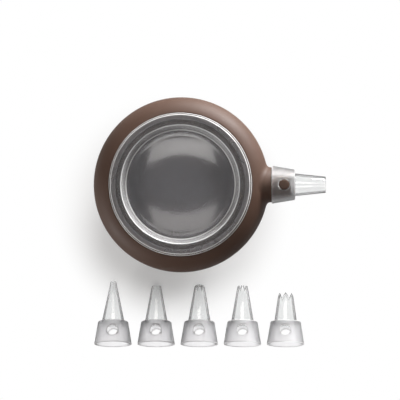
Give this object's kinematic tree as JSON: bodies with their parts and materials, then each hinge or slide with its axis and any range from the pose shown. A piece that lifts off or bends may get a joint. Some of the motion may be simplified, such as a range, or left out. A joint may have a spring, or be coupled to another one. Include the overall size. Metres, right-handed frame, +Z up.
{
  "type": "cake decorating syringe",
  "caption": "Squeezable silicone bulb with a clear screw lid, a side neck whose lock buttons hold a clear nozzle, and loose spare nozzles.",
  "frame": {"origin": "centre of the flat that the bulb stands on", "axes": "+Z up through the lid, +X along the neck and the fitted nozzle, spare nozzles towards -Y"},
  "size_m": [0.1659, 0.1773, 0.0732],
  "materials": {
    "silicone": "matte brown silicone",
    "clear_plastic": "clear, polished",
    "frosted_plastic": "frosted, translucent",
    "seal_silicone": "milky, matte"
  },
  "bodies": {
    "bulb": {"silicone_bulb": "silicone", "mouth_ring": "clear_plastic"},
    "seal": {"lid_seal": "seal_silicone"},
    "lid": {"lid": "clear_plastic"},
    "nozzle": {"fitted_collar": "frosted_plastic", "fitted_tip": "clear_plastic"},
    "button_top": {"lock_button_top": "silicone"},
    "button_bottom": {"lock_button_bottom": "silicone"},
    "spare_1": {"spare_collar_1": "frosted_plastic", "spare_tip_1_fine": "clear_plastic"},
    "spare_2": {"spare_collar_2": "frosted_plastic", "spare_tip_2_round": "clear_plastic"},
    "spare_3": {"spare_collar_3": "frosted_plastic", "spare_tip_3_closed_star": "clear_plastic"},
    "spare_4": {"spare_collar_4": "frosted_plastic", "spare_tip_4_open_star": "clear_plastic"},
    "spare_5": {"spare_collar_5": "frosted_plastic", "spare_tip_5_crown": "clear_plastic"}
  },
  "joints": [
    {"name": "lid_rise", "type": "slide", "parent": "bulb", "child": "seal", "axis": [0, 0, 1], "range_m": [0, 0.008]},
    {"name": "lid_turn", "type": "hinge", "parent": "seal", "child": "lid", "pos_m": [0, 0, 0.0665], "axis": [0, 0, 1], "range_deg": [0, 120]},
    {"name": "nozzle_pull", "type": "slide", "parent": "bulb", "child": "nozzle", "axis": [1, 0, 0], "range_m": [0, 0.025], "deforming": ["lock_button_top", "lock_button_bottom"]},
    {"name": "button_press_top", "type": "slide", "parent": "bulb", "child": "button_top", "axis": [0, 0, -1], "range_m": [0, 0.0018], "stiffness_N_per_m": 2000},
    {"name": "button_press_bottom", "type": "slide", "parent": "bulb", "child": "button_bottom", "axis": [0, 0, 1], "range_m": [0, 0.0018], "stiffness_N_per_m": 2000},
    {"name": "spare_1_lift", "type": "slide", "parent": "bulb", "child": "spare_1", "axis": [0, 0, 1], "range_m": [0, 0.06]},
    {"name": "spare_2_lift", "type": "slide", "parent": "bulb", "child": "spare_2", "axis": [0, 0, 1], "range_m": [0, 0.06]},
    {"name": "spare_3_lift", "type": "slide", "parent": "bulb", "child": "spare_3", "axis": [0, 0, 1], "range_m": [0, 0.06]},
    {"name": "spare_4_lift", "type": "slide", "parent": "bulb", "child": "spare_4", "axis": [0, 0, 1], "range_m": [0, 0.06]},
    {"name": "spare_5_lift", "type": "slide", "parent": "bulb", "child": "spare_5", "axis": [0, 0, 1], "range_m": [0, 0.06]}
  ],
  "couplings": [
    {"joint": "lid_rise", "follows": "lid_turn", "m_per_rad": 0.0038197}
  ]
}
